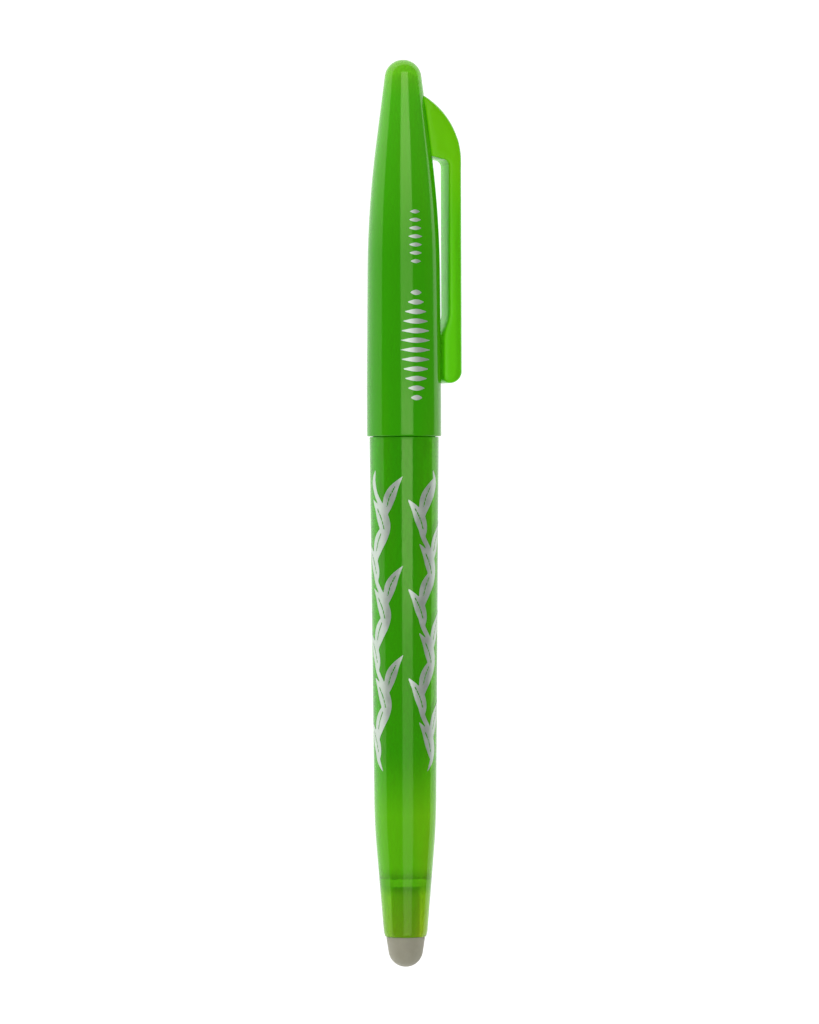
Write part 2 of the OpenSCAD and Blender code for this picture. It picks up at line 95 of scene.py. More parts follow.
def barrel_r(s):
    """Outer radius of the barrel's long body."""
    past = np.asarray(s, float) - BLEND
    t = np.clip(past, 0, BLEND_LEN)
    r = BLEND_R + BARREL_M0 * np.minimum(past, 0)
    r = r + BARREL_M0 * t + (BARREL_M1 - BARREL_M0) * t * t / (2 * BLEND_LEN)
    return r + BARREL_M1 * np.maximum(past - BLEND_LEN, 0)


# Cap: a straight band at the mouth, a slight taper, a blend, and a steeper taper up to a ball.
CAP_MOUTH, CAP_R, CAP_BAND = 83.6, 5.88, 8.0
CAP_TAPER, CAP_TAPER_R, CAP_BLEND_LEN = 17.8, 5.725, 20.4
CROWN_BALL, CROWN_TILT = 2.92, 7.45
CROWN_C = LENGTH - CROWN_BALL
CROWN_S = CROWN_C + CROWN_BALL * math.sin(math.radians(CROWN_TILT))
CROWN_R = CROWN_BALL * math.cos(math.radians(CROWN_TILT))
CAP_BLEND = CAP_MOUTH + CAP_BAND + CAP_TAPER
CAP_STEEP = CAP_BLEND + CAP_BLEND_LEN
CAP_M0 = (CAP_TAPER_R - CAP_R) / CAP_TAPER
CAP_R1 = end_of_blend(CAP_TAPER_R, CAP_M0, CAP_BLEND_LEN, CROWN_R, CROWN_S - CAP_STEEP)
CAP_M1 = (CROWN_R - CAP_R1) / (CROWN_S - CAP_STEEP)


def cap_r(s):
    """Outer radius of the cap between its mouth and its crown."""
    s = np.asarray(s, float)
    r = CAP_R + CAP_M0 * np.clip(s - CAP_MOUTH - CAP_BAND, 0, CAP_TAPER)
    t = np.clip(s - CAP_BLEND, 0, CAP_BLEND_LEN)
    r = r + CAP_M0 * t + (CAP_M1 - CAP_M0) * t * t / (2 * CAP_BLEND_LEN)
    return r + CAP_M1 * np.maximum(s - CAP_STEEP, 0)


def turned(radius, stations, wall=0.0):
    """(station, radius) points on a turned surface, or a wall's thickness inside it."""
    return [(s, float(radius(s)) - wall) for s in stations]


# ---------------------------------------------------------------- mesh helpers

def finish_mesh(name, bm, angle=32.0, smooth=True):
    """The object made from a bmesh, shaded smooth except over edges sharper than angle."""
    bmesh.ops.recalc_face_normals(bm, faces=bm.faces)
    me = bpy.data.meshes.new(name)
    bm.to_mesh(me)
    bm.free()
    me.polygons.foreach_set("use_smooth", [smooth] * len(me.polygons))
    if smooth:
        me.set_sharp_from_angle(angle=math.radians(angle))
    ob = bpy.data.objects.new(name, me)
    bpy.context.scene.collection.objects.link(ob)
    return ob


def grid_mesh(rows, closed_rows=False):
    """A bmesh of rings joined one to the next; a ring on the axis is a single point."""
    bm = bmesh.new()
    rings = []
    for ring in rows:
        rings.append([bm.verts.new(p) for p in ring])
    pairs = list(zip(rings[:-1], rings[1:]))
    if closed_rows:
        pairs.append((rings[-1], rings[0]))
    for a, b in pairs:
        if len(a) == 1 and len(b) == 1:
            continue
        n = max(len(a), len(b))
        for i in range(n):
            j = (i + 1) % n
            if len(a) == 1:
                bm.faces.new((a[0], b[j], b[i]))
            elif len(b) == 1:
                bm.faces.new((a[i], a[j], b[0]))
            else:
                bm.faces.new((a[i], a[j], b[j], b[i]))
    return bm


def lathe(name, profile, seg=144, angle=32.0, radius=None):
    """A closed solid of revolution about the pen's axis from (station, radius) points.

    The outline is closed if neither end is on the axis. radius(s, r, angles) may vary the radius
    round the axis, for threads and ribs.
    """
    th = np.linspace(0, 2 * np.pi, seg, endpoint=False)
    rows = []
    for s, r in profile:
        if r < 1e-6:
            rows.append([at(0, s, 0)])
            continue
        rr = np.full(seg, float(r)) if radius is None else radius(s, r, th)
        rows.append([at(rr[i] * math.cos(th[i]), s, rr[i] * math.sin(th[i])) for i in range(seg)])
    closed = profile[0][1] > 1e-6
    return finish_mesh(name, grid_mesh(rows, closed_rows=closed), angle)


def fillet(points, radii, n=5):
    """Rounds the corners of an open outline; radii gives one value a point, 0 for a sharp one."""
    out = [points[0]]
    for i in range(1, len(points) - 1):
        p0, p1, p2 = (np.array(points[k], float) for k in (i - 1, i, i + 1))
        rad = radii[i] if i < len(radii) else 0
        a, b = p0 - p1, p2 - p1
        la, lb = np.linalg.norm(a), np.linalg.norm(b)
        if rad <= 0 or la < 1e-9 or lb < 1e-9:
            out.append(tuple(p1))
            continue
        a, b = a / la, b / lb
        cut = min(rad, la * 0.45, lb * 0.45)
        q0, q2 = p1 + a * cut, p1 + b * cut
        for t in np.linspace(0, 1, n + 1):
            out.append(tuple((1 - t) ** 2 * q0 + 2 * t * (1 - t) * p1 + t * t * q2))
    out.append(points[-1])
    return out


# ---------------------------------------------------------------- materials

def new_material(name):
    """A material with one Principled shader: the material, its node tree and the shader."""
    m = bpy.data.materials.new(name)
    m.use_nodes = True
    nt = m.node_tree
    nt.nodes.clear()
    out = nt.nodes.new("ShaderNodeOutputMaterial")
    bsdf = nt.nodes.new("ShaderNodeBsdfPrincipled")
    nt.links.new(bsdf.outputs["BSDF"], out.inputs["Surface"])
    return m, nt, bsdf


def noise(nt, scale, detail=3.0, rough=0.55, stretch=(1, 1, 1), distortion=0.0):
    tex = nt.nodes.new("ShaderNodeTexNoise")
    co = nt.nodes.new("ShaderNodeTexCoord")
    mp = nt.nodes.new("ShaderNodeMapping")
    mp.inputs["Scale"].default_value = stretch
    nt.links.new(co.outputs["Object"], mp.inputs["Vector"])
    nt.links.new(mp.outputs["Vector"], tex.inputs["Vector"])
    tex.inputs["Scale"].default_value = scale
    tex.inputs["Detail"].default_value = detail
    tex.inputs["Roughness"].default_value = rough
    tex.inputs["Distortion"].default_value = distortion
    return tex.outputs["Fac"]


def ramp(nt, fac, stops):
    """Colour from (position, colour) stops."""
    r = nt.nodes.new("ShaderNodeValToRGB")
    while len(r.color_ramp.elements) < len(stops):
        r.color_ramp.elements.new(0.5)
    for e, (pos, col) in zip(r.color_ramp.elements, stops):
        e.position = pos
        e.color = (*col, 1)
    nt.links.new(fac, r.inputs["Fac"])
    return r.outputs["Color"]


def value_range(nt, fac, lo, hi):
    """Noise, which stays mostly between 0.3 and 0.7, spread over lo to hi."""
    m = nt.nodes.new("ShaderNodeMapRange")
    m.inputs["From Min"].default_value = 0.3
    m.inputs["From Max"].default_value = 0.7
    m.inputs["To Min"].default_value = lo
    m.inputs["To Max"].default_value = hi
    nt.links.new(fac, m.inputs["Value"])
    return m.outputs["Result"]


def bump(nt, bsdf, fac, strength, distance):
    b = nt.nodes.new("ShaderNodeBump")
    b.inputs["Strength"].default_value = strength
    b.inputs["Distance"].default_value = distance
    nt.links.new(fac, b.inputs["Height"])
    nt.links.new(b.outputs["Normal"], bsdf.inputs["Normal"])


def along(nt, stops):
    """Colour or grey level set at stations along the pen; stops are (station, value) pairs."""
    co = nt.nodes.new("ShaderNodeTexCoord")
    xyz = nt.nodes.new("ShaderNodeSeparateXYZ")
    nt.links.new(co.outputs["Object"], xyz.inputs["Vector"])
    station = nt.nodes.new("ShaderNodeMapRange")
    station.inputs["From Min"].default_value = -TIP * MM
    station.inputs["From Max"].default_value = (LENGTH - TIP) * MM
    nt.links.new(xyz.outputs["Y"], station.inputs["Value"])
    return ramp(nt, station.outputs["Result"],
                [(q / LENGTH, v if isinstance(v, tuple) else (v, v, v)) for q, v in stops])


WARM = (2.3, 1.0, 1.4)  # how much yellower the plastic looks where light gathers in it


def tint_along(nt, stops, vary, warm=0.0):
    """Colour that changes along the pen, mottled by noise, with yellower streaks of painted light where
    warm.
    """
    mottle = value_range(nt, noise(nt, 60, 3, 0.55, (1, 0.15, 1)), 1 - vary, 1 + vary)
    mix = nt.nodes.new("ShaderNodeVectorMath")
    mix.operation = "SCALE"
    nt.links.new(along(nt, stops), mix.inputs[0])
    nt.links.new(mottle, mix.inputs["Scale"])
    if not warm:
        return mix.outputs["Vector"]
    yellow = nt.nodes.new("ShaderNodeVectorMath")
    yellow.operation = "MULTIPLY"
    streak = noise(nt, 95, 2, 0.5, (1, 0.12, 1))
    tone = ramp(nt, streak, [(0.48, (1, 1, 1)), (0.75, tuple(1 + warm * (w - 1) for w in WARM))])
    nt.links.new(mix.outputs["Vector"], yellow.inputs[0])
    nt.links.new(tone, yellow.inputs[1])
    return yellow.outputs["Vector"]


def plastic(name, stops, rough=0.12, transmission=0.0, specular=0.5, vary=0.06, bump_strength=0.02,
            glint=(1, 1, 1), warm=0.0):
    """Moulded plastic; stops, and transmission and specular where they vary, are (station, value) pairs."""
    m, nt, b = new_material(name)
    nt.links.new(tint_along(nt, stops, vary, warm), b.inputs["Base Color"])
    fine = noise(nt, 840, 2, 0.5)
    nt.links.new(value_range(nt, fine, rough * 0.8, rough * 1.25), b.inputs["Roughness"])
    bump(nt, b, fine, bump_strength, 0.00005)
    b.inputs["IOR"].default_value = 1.5
    b.inputs["Specular Tint"].default_value = (*glint, 1)
    for socket, value in (("Transmission Weight", transmission), ("Specular IOR Level", specular)):
        if isinstance(value, list):
            nt.links.new(along(nt, value), b.inputs[socket])
        else:
            b.inputs[socket].default_value = value
    return m


def metal(name, dark, light, rough, scale=300, stretch=(1, 1, 1), bump_strength=0.05, metallic=1.0):
    """Metal with a fine grain between two tones."""
    m, nt, b = new_material(name)
    n = noise(nt, scale, 3, 0.6, stretch)
    nt.links.new(ramp(nt, n, [(0.3, dark), (0.7, light)]), b.inputs["Base Color"])
    nt.links.new(value_range(nt, n, rough * 0.8, rough * 1.2), b.inputs["Roughness"])
    b.inputs["Metallic"].default_value = metallic
    bump(nt, b, n, bump_strength, 0.00003)
    return m


GREEN = (0.070, 0.68, 0.002)
GLINT = (0.90, 1.0, 0.50)  # a highlight on the clear plastic is greenish
# The cap's colour grows lighter and yellower from station 127 to the crown: painted light where the solid
# plastic of the crown gathers it. Its specular level rises toward the crown to paint a stronger highlight
# there.
mat_cap = plastic("cap_plastic", [(84, GREEN), (112, (0.076, 0.71, 0.002)), (127, (0.115, 0.85, 0.003)),
                                  (137, (0.15, 0.93, 0.010)), (142, (0.27, 0.96, 0.02))],
                  rough=0.10, transmission=0.3, specular=[(84, 0.36), (112, 0.42), (130, 1.0)],
                  glint=GLINT, warm=0.8)
# The clip's colour steps lighter over the solid fin from station 126: painted light.
mat_clip = plastic("clip_plastic", [(92, (0.19, 0.95, 0.006)), (118, (0.19, 0.95, 0.006)),
                                    (126, (0.26, 0.98, 0.006)), (143, (0.26, 0.98, 0.006))],
                   rough=0.20, transmission=[(114, 0.30), (122, 0.12)], specular=0.14, glint=GLINT)
# The barrel's colour stops are painted light and shade read along the pen: the rear, from the tail to
# station 24, lighter and yellower, with a painted dark band over the bulkhead from 12.6 to 13.8; from
# station 34 to the mouth it keeps the plain green.
mat_barrel = plastic("barrel_plastic", [(5, (0.38, 0.82, 0.02)), (11.5, (0.27, 0.84, 0.01)),
                                        (12.6, (0.14, 0.64, 0.006)), (13.8, (0.14, 0.64, 0.006)),
                                        (15.2, (0.21, 0.90, 0.006)), (24, (0.22, 0.94, 0.006)),
                                        (34, (0.095, 0.78, 0.002)), (80, (0.080, 0.74, 0.002))],
                     rough=0.09, transmission=[(14, 0.5), (16, 0.30), (24, 0.30), (32, 0.48)],
                     specular=0.38, glint=GLINT, warm=0.8)
mat_inner_cap = plastic("inner_cap_plastic", [(115, (0.35, 0.75, 0.08)), (134, (0.40, 0.80, 0.10))],
                        rough=0.3, transmission=0.3)
mat_section = plastic("section_plastic", [(80, (0.06, 0.42, 0.012)), (124, (0.07, 0.48, 0.015))],
                      rough=0.15, transmission=0.15)
mat_tube = plastic("tube_plastic", [(22, (0.80, 0.84, 0.76)), (106, (0.84, 0.88, 0.82))],
                   rough=0.35, transmission=0.4)
mat_plug = plastic("plug_plastic", [(16, (0.80, 0.86, 0.70)), (26, (0.84, 0.88, 0.76))], rough=0.4)
mat_holder = plastic("holder_plastic", [(102, (0.84, 0.84, 0.80)), (119, (0.86, 0.86, 0.83))],
                     rough=0.4)
mat_ink = plastic("gel_ink", [(45, (0.06, 0.50, 0.03)), (102, (0.06, 0.50, 0.03))], rough=0.08,
                  vary=0.15)
mat_grease = plastic("follower_grease", [(39, (0.80, 0.79, 0.62)), (45, (0.80, 0.79, 0.62))],
                     rough=0.1, transmission=0.3)
mat_tip = metal("tip_metal", (0.62, 0.63, 0.66), (0.78, 0.79, 0.82), 0.22, 400, (1, 6, 1))
mat_ball = metal("ball_metal", (0.50, 0.52, 0.56), (0.62, 0.64, 0.68), 0.12)
mat_foil = metal("silver_foil", (0.62, 0.72, 0.62), (0.76, 0.85, 0.76), 0.40, 500, (1, 1, 1), 0.04, 0.55)


def rubber(name, dark, light, rough, scale, strength):
    """Matt rubber with a fine, slightly translucent skin."""
    m, nt, b = new_material(name)
    n = noise(nt, scale, 4, 0.6)
    nt.links.new(ramp(nt, n, [(0.3, dark), (0.7, light)]), b.inputs["Base Color"])
    fine = noise(nt, scale * 9, 3, 0.6)
    nt.links.new(value_range(nt, fine, rough * 0.9, min(1.0, rough * 1.1)), b.inputs["Roughness"])
    bump(nt, b, fine, strength, 0.0001)
    b.inputs["Subsurface Weight"].default_value = 0.25
    b.inputs["Subsurface Radius"].default_value = (1.0, 0.9, 0.7)
    b.inputs["Subsurface Scale"].default_value = 0.001
    b.inputs["Specular IOR Level"].default_value = 0.4
    return m


mat_eraser = rubber("eraser_rubber", (0.47, 0.455, 0.345), (0.53, 0.515, 0.395), 0.55, 500, 0.10)
mat_grip = rubber("grip_rubber", (0.035, 0.040, 0.042), (0.055, 0.060, 0.062), 0.6, 400, 0.15)


def dress(node, material):
    """Gives a CAD node that is carried over its material."""
    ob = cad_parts[node]
    if not ob.material_slots:
        ob.data.materials.append(None)
    for holder in ob.material_slots:
        holder.material = material


def piece(ob, material, body=None, replaces=()):
    """Dresses a new piece in its material, attaches it to its body and hides the CAD nodes it stands for.
    """
    ob.data.materials.clear()
    ob.data.materials.append(material)
    if body:
        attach(ob, body)
    if replaces:
        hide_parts(*replaces)
    return ob


# ---------------------------------------------------------------- cap

CAP_WALL, CROWN_WALL, CAP_BORE = 0.95, 2.3, 5.12
BAND_END = CAP_MOUTH + CAP_BAND
DOME_R = CROWN_BALL - CAP_WALL
DOME_C = LENGTH - CROWN_WALL - DOME_R

# from the crown down the outside, round the lip, and up the bore past the snap ridge
cap_profile = arc_run(CROWN_C, 0, CROWN_BALL, 90, CROWN_TILT, 16)[:-1]
cap_profile[0] = (LENGTH, 0.0)
cap_profile += turned(cap_r, np.linspace(CROWN_S, CAP_STEEP, 6))
cap_profile += turned(cap_r, np.linspace(CAP_STEEP, CAP_BLEND, 20)[1:])
cap_profile += turned(cap_r, np.linspace(CAP_BLEND, BAND_END, 6)[1:])
cap_profile += [(86.0, CAP_R)]
cap_profile += fillet([(84.2, CAP_R), (CAP_MOUTH, CAP_R), (CAP_MOUTH, 5.40)], [0, 0.25, 0])
cap_profile += fillet([(CAP_MOUTH, 5.38), (CAP_MOUTH, CAP_BORE), (84.1, CAP_BORE)], [0, 0.2, 0])
cap_profile += [(84.6, CAP_BORE), (84.8, CAP_BORE), (85.2, 5.05), (85.45, 5.01), (85.95, 5.01),
                (86.3, 5.06), (86.6, CAP_BORE), (86.8, CAP_BORE), (BAND_END, CAP_BORE)]
cap_profile += turned(cap_r, np.linspace(CAP_BLEND, CAP_STEEP, 20), CAP_WALL)
cap_profile += arc_run(DOME_C, 0, DOME_R, CROWN_TILT, 90, 12)
cap_profile[-1] = (DOME_C + DOME_R, 0.0)
cap = lathe("cap_shell_moulding", cap_profile, 160)
piece(cap, mat_cap, "cap", ["cap_shell"])


# ---------------------------------------------------------------- clip, one moulding with its fin

CLIP_FACE, CLIP_INNER, CLIP_HALF_W = 9.35, 6.85, 2.4
CLIP_ROUND, CLIP_ROOT, CLIP_TOE = 4.5, 126.25, 92.0
PAD_FACE, PAD_START, PAD_RAMP = 5.95, 99.0, 4.0
FIN_R, FIN_TOP, FIN_FOOT = 12.0, 137.6, 0.55  # shoulder's arc, its upper end, how deep its foot sits
TOE_R, PAD_TOE_R = 2.0, 0.9
NARROWING = 0.9  # how much each side gives way at the top of the fin and at the toe


def clip_section(length, w):
    """Half of the arm's section, from the middle of its inner face to its crowned outer side."""
    f = min(0.3, length * 0.2)
    shoulder = length - CLIP_ROUND + math.sqrt(CLIP_ROUND ** 2 - w ** 2)
    side = [(f * (1 - math.sin(t)), w - f * (1 - math.cos(t))) for t in np.linspace(math.pi / 2, 0, 5)]
    side += [(f + (shoulder - 2 * f) * t, w) for t in (0.35, 0.7)]
    bend = [np.array(q) for q in ((shoulder - f, w), (shoulder + 0.03, w),
                                  (length - CLIP_ROUND + math.sqrt(CLIP_ROUND ** 2 - (w - f) ** 2),
                                   w - f))]
    corner = [tuple((1 - t) ** 2 * bend[0] + 2 * t * (1 - t) * bend[1] + t * t * bend[2])
              for t in np.linspace(0, 1, 5)]
    crown = [(length - CLIP_ROUND + math.sqrt(CLIP_ROUND ** 2 - z * z), z)
             for z in np.linspace(w - f, 0, 8)[1:]]
    return side + corner + crown


def clip_moulding():
    """Sections stacked from the top of the fin, down the arm and the pad, to the toe."""
    centre_x, centre_s = CLIP_FACE - FIN_R, CLIP_ROOT + 0.7
    notch = (CLIP_INNER - float(cap_r(CLIP_ROOT))) / 2
    outer, inside, half = [], [], []

    def add(o, i, w=CLIP_HALF_W):
        outer.append(np.array(o, float))
        inside.append(np.array(i, float))
        half.append(w)

    # shoulder: from where it runs out on the cap down to the arm
    top = math.acos((2.6 - centre_x) / FIN_R)
    foot_end, corner_start, slot_top = 0.72, 0.78, CLIP_ROOT + notch
    for t in np.linspace(0, 1, 30):
        a = top * (1 - t)
        o = (centre_x + FIN_R * math.cos(a), centre_s + FIN_R * math.sin(a))
        if t < foot_end:  # foot buried in the cap's wall
            q = FIN_TOP + (slot_top - FIN_TOP) * t / foot_end
            i = (float(cap_r(q)) - FIN_FOOT, q)
        elif t < corner_start:
            i = (CLIP_INNER - notch, slot_top)
        else:  # round the corner of the slot
            b = math.pi / 2 * (1 - (t - corner_start) / (1 - corner_start))
            i = (CLIP_INNER - notch + notch * math.cos(b), CLIP_ROOT + notch * math.sin(b))
        add(o, i, CLIP_HALF_W - NARROWING * max(0, 1 - t / 0.25) ** 2)
    for q in np.linspace(CLIP_ROOT - 0.6, 103.6, 16):
        add((CLIP_FACE, q), (CLIP_INNER, q))
    # ramp, pad and rounded toe
    for q in np.linspace(PAD_START + PAD_RAMP, PAD_START, 9):
        t = (q - PAD_START) / PAD_RAMP
        add((CLIP_FACE, q), (PAD_FACE + (CLIP_INNER - PAD_FACE) * t * t * (3 - 2 * t), q))
    for q in (97.5, 96.0, 94.8):
        add((CLIP_FACE, q), (PAD_FACE, q))
    for a in np.linspace(0, 88, 12):
        r = math.radians(a)
        c, d = 1 - math.cos(r), 1 - math.sin(r)
        o = (CLIP_FACE - TOE_R * c, CLIP_TOE + TOE_R * d)
        i = (PAD_FACE + PAD_TOE_R * c, CLIP_TOE + PAD_TOE_R * d)
        add(o, i, CLIP_HALF_W - NARROWING * (1 - math.sqrt(1 - (a / 92) ** 4)))
    rows = []
    for o, i, w in zip(outer, inside, half):
        length = float(np.linalg.norm(o - i))
        d = (o - i) / max(length, 1e-9)
        right = clip_section(length, w)
        loop = right + [(a, -z) for a, z in reversed(right[:-1])]
        rows.append([at(i[0] + d[0] * a, i[1] + d[1] * a, z) for a, z in loop])
    bm = grid_mesh(rows)
    bm.verts.ensure_lookup_table()
    m = len(rows[0])
    first = [bm.verts[k] for k in range(m)]
    last = [bm.verts[len(rows) * m - m + k] for k in range(m)]
    bm.faces.new(list(reversed(first)))
    bm.faces.new(last)
    return finish_mesh("clip_moulding", bm, 40)


clip = clip_moulding()
piece(clip, mat_clip, None, ["clip"])
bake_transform(clip)


# ---------------------------------------------------------------- barrel

PITCH, THREAD, NECK_END = 1.5, 80.0, 88.1
BORE, TOOTH = 4.05, 0.32  # bore of the female thread and depth of its groove
TOOTH_FOOT, TOOTH_CREST = 105, 70  # degrees from the middle of the groove
THREAD_STEP = 0.09
SOCKET_R, SOCKET_END, BORE_START = 2.25, 12.8, 14.0
TAIL_END, NECK_R = 4.8, 4.9


def screw_depth(s, th):
    """0 outside the thread's groove, 1 at its bottom."""
    turn = (s - THREAD + 0.6) / PITCH * 2 * np.pi
    d = np.abs((th - turn + np.pi) % (2 * np.pi) - np.pi)
    return np.clip((math.radians(TOOTH_FOOT) - d) / math.radians(TOOTH_FOOT - TOOTH_CREST), 0, 1)


def barrel_radius(s, r, th):
    """The radius round the axis: the bore in the neck carries the thread's groove."""
    if abs(r - BORE) < 1e-6 and THREAD <= s <= NECK_END + 0.01:
        return r + TOOTH * screw_depth(s, -th)
    return np.full(len(th), float(r))


# from the eraser's socket, over the tail, along the outside, round the neck, and down the bore
barrel_profile = [(SOCKET_END, 0.0), (SOCKET_END, 1.2)]
barrel_profile += fillet([(SOCKET_END, 2.0), (SOCKET_END, SOCKET_R), (12.4, SOCKET_R)], [0, 0.15, 0], 3)
barrel_profile += [(9.0, SOCKET_R), (5.2, SOCKET_R)]
barrel_profile += fillet([(5.1, SOCKET_R), (TAIL_END, 2.35), (TAIL_END, 3.0)], [0, 0.15, 0], 3)
barrel_profile += fillet([(TAIL_END, 3.05), (TAIL_END, 3.24), (TAIL, TAIL_R),
                          (7.5, TAIL_R + 2 * BARREL_M0)], [0, 0.2, 0.5, 0], 4)
barrel_profile += turned(barrel_r, (10, 12.5, 15, 17))
barrel_profile += turned(barrel_r, np.linspace(BLEND, BLEND + BLEND_LEN, 16))
barrel_profile += turned(barrel_r, np.linspace(28, 82.4, 24))
barrel_profile += fillet([(82.9, float(barrel_r(82.9))), (BARREL_MOUTH, BARREL_MOUTH_R),
                          (BARREL_MOUTH, NECK_R), (84.4, NECK_R)], [0, 0.12, 0.1, 0], 4)
barrel_profile += [(86.6, NECK_R), (86.9, 4.93), (87.2, 4.98), (87.6, 4.98)]
barrel_profile += fillet([(87.7, 4.98), (NECK_END, 4.7), (NECK_END, 4.45)], [0, 0.12, 0], 3)
barrel_profile += [(NECK_END, 4.40)]
barrel_profile += [(s, BORE) for s in np.arange(NECK_END, THREAD, -THREAD_STEP)]
barrel_profile += [(79.95, BORE), (79.9, 4.4), (79.4, 4.4), (70, 4.33), (50, 4.18), (30.6, 4.0)]
barrel_profile += [(s, 3.3 + (s - BORE_START) * 0.7 / 16.6) for s in (27, 22, 18, 15)]
barrel_profile += fillet([(14.6, 3.325), (BORE_START, 3.3), (BORE_START, 2.6)], [0, 0.3, 0], 3)
barrel_profile += [(BORE_START, 1.2), (BORE_START, 0.0)]
barrel = lathe("barrel_moulding", barrel_profile, 144, radius=barrel_radius)
piece(barrel, mat_barrel, "barrel", ["barrel"])


RIBS, RIB_HALF = 4, 0.4
RIB_OUTLINE = [(13.9, 3.1), (13.9, 3.75), (23.0, 3.75), (23.0, 3.55), (22.4, 3.1)]


def centring_ribs():
    """Flat ribs in the rear of the bore that centre the refill's tail."""
    bm = bmesh.new()
    n = len(RIB_OUTLINE)
    for k in range(RIBS):
        a = math.radians(45 + 360 / RIBS * k)
        c, d = math.cos(a), math.sin(a)
        ring = []
        for side in (-RIB_HALF, RIB_HALF):
            ring.append([bm.verts.new(at(r * c - side * d, s, r * d + side * c))
                         for s, r in RIB_OUTLINE])
        for i in range(n):
            j = (i + 1) % n
            bm.faces.new((ring[0][i], ring[0][j], ring[1][j], ring[1][i]))
        bm.faces.new(list(reversed(ring[0])))
        bm.faces.new(ring[1])
    bmesh.ops.bevel(bm, geom=list(bm.edges), offset=0.08 * MM, segments=2, affect="EDGES")
    return finish_mesh("barrel_centring_ribs", bm, 40)


piece(centring_ribs(), mat_barrel, "barrel")

# ---------------------------------------------------------------- foil on the barrel and the cap

# Strokes are (across, station, half width) points; "+" lays foil and "-" clears it.
FOIL_REACH = 5.3  # radius at which the barrel pattern is laid out
FOIL_LIFT = 0.03  # the leaf of foil stands this far above and below the surface
FOIL_START, FOIL_END = 31.0, 80.0


def leaf(u, s, lean, length, half):
    """A leaf that leans aside as it runs toward the cap, with an open midrib."""
    spine = [(u + lean * t * t, s + length * t) for t in (0, 0.25, 0.5, 0.75, 1)]
    blade = [(a, b, half * w) for (a, b), w in zip(spine, (0.08, 0.8, 1.0, 0.62, 0.05))]
    return [("+", blade), ("-", [(a, b, 0.12) for a, b in spine[1:4]])]


def vine(u0, turn, sway=1.5, pitch=14.0):
    """A waving stem with leaves on alternate sides."""
    def across(s):
        return u0 + sway * math.sin(2 * math.pi * (s - FOIL_START) / pitch + turn)

    stem = [(across(s), s, 0.42) for s in np.arange(FOIL_START, FOIL_END, 1.75)]
    stem[0], stem[-1] = (*stem[0][:2], 0.08), (*stem[-1][:2], 0.08)
    strokes = [("+", stem)]
    for n, s in enumerate(np.arange(FOIL_START + 1.5, FOIL_END - 8.0, pitch / 4)):
        side = 1 if n % 2 else -1
        strokes += leaf(across(s), s, 2.7 * side, 6.2, 0.95)
    return strokes


VINES = 4
BAR_LINE = 2.0  # the bars' middles lie on this across value
BARREL_ART = []
for k in range(VINES):
    BARREL_ART += vine((k + 0.5) * 2 * math.pi * FOIL_REACH / VINES, math.pi * (k % 2))


def chain(points, step=0.15):
    """Dense samples of a Catmull-Rom curve through (u, s, half width) points."""
    p = np.array(points, float)
    p = np.vstack([2 * p[0] - p[1], p, 2 * p[-1] - p[-2]])
    out = []
    for a, b, c, d in zip(p[:-3], p[1:-2], p[2:-1], p[3:]):
        n = max(2, int(np.linalg.norm((c - b)[:2]) / step))
        t = (np.arange(n) / n)[:, None]
        out.append(0.5 * (2 * b + (c - a) * t + (2 * a - 5 * b + 4 * c - d) * t ** 2
                          + (3 * b - a - 3 * c + d) * t ** 3))
    out.append(p[-2:-1])
    return np.vstack(out)


def field(art, u, s, period=None):
    """Signed distance, negative on foil, on the grid of across values u and stations s."""
    f = np.full((len(s), len(u)), 3.0)
    for sign, points in art:
        c = chain(points)
        g = np.full(f.shape, 3.0)
        for cu, cs, w in c:
            du = u - cu
            if period:
                du = (du + period / 2) % period - period / 2
            iu = np.where(np.abs(du) < w + 1.0)[0]
            i0, i1 = np.searchsorted(s, (cs - w - 1.0, cs + w + 1.0))
            if not len(iu) or i0 == i1:
                continue
            d = np.hypot(du[iu][None, :], (s[i0:i1] - cs)[:, None]) - w
            part = np.ix_(range(i0, i1), iu)
            g[part] = np.minimum(g[part], d)
        f = np.minimum(f, g) if sign == "+" else np.maximum(f, -g)
    return f


def bar_row(first, count, gap, reach, swell, half):
    """A row of plain pointed bars across the cap, longest in the middle of the row."""
    rows = []
    for n in range(count):
        long = reach + swell * math.sin(math.pi * n / (count - 1))
        s = first + gap * n
        rows.append(("+", [(BAR_LINE - long, s, 0.08), (BAR_LINE, s, half),
                           (BAR_LINE + long, s, 0.08)]))
    return rows


CAP_ART = bar_row(89.6, 12, 1.5, 0.9, 1.5, 0.42) + bar_row(111.0, 7, 1.3, 0.8, 0.3, 0.32)


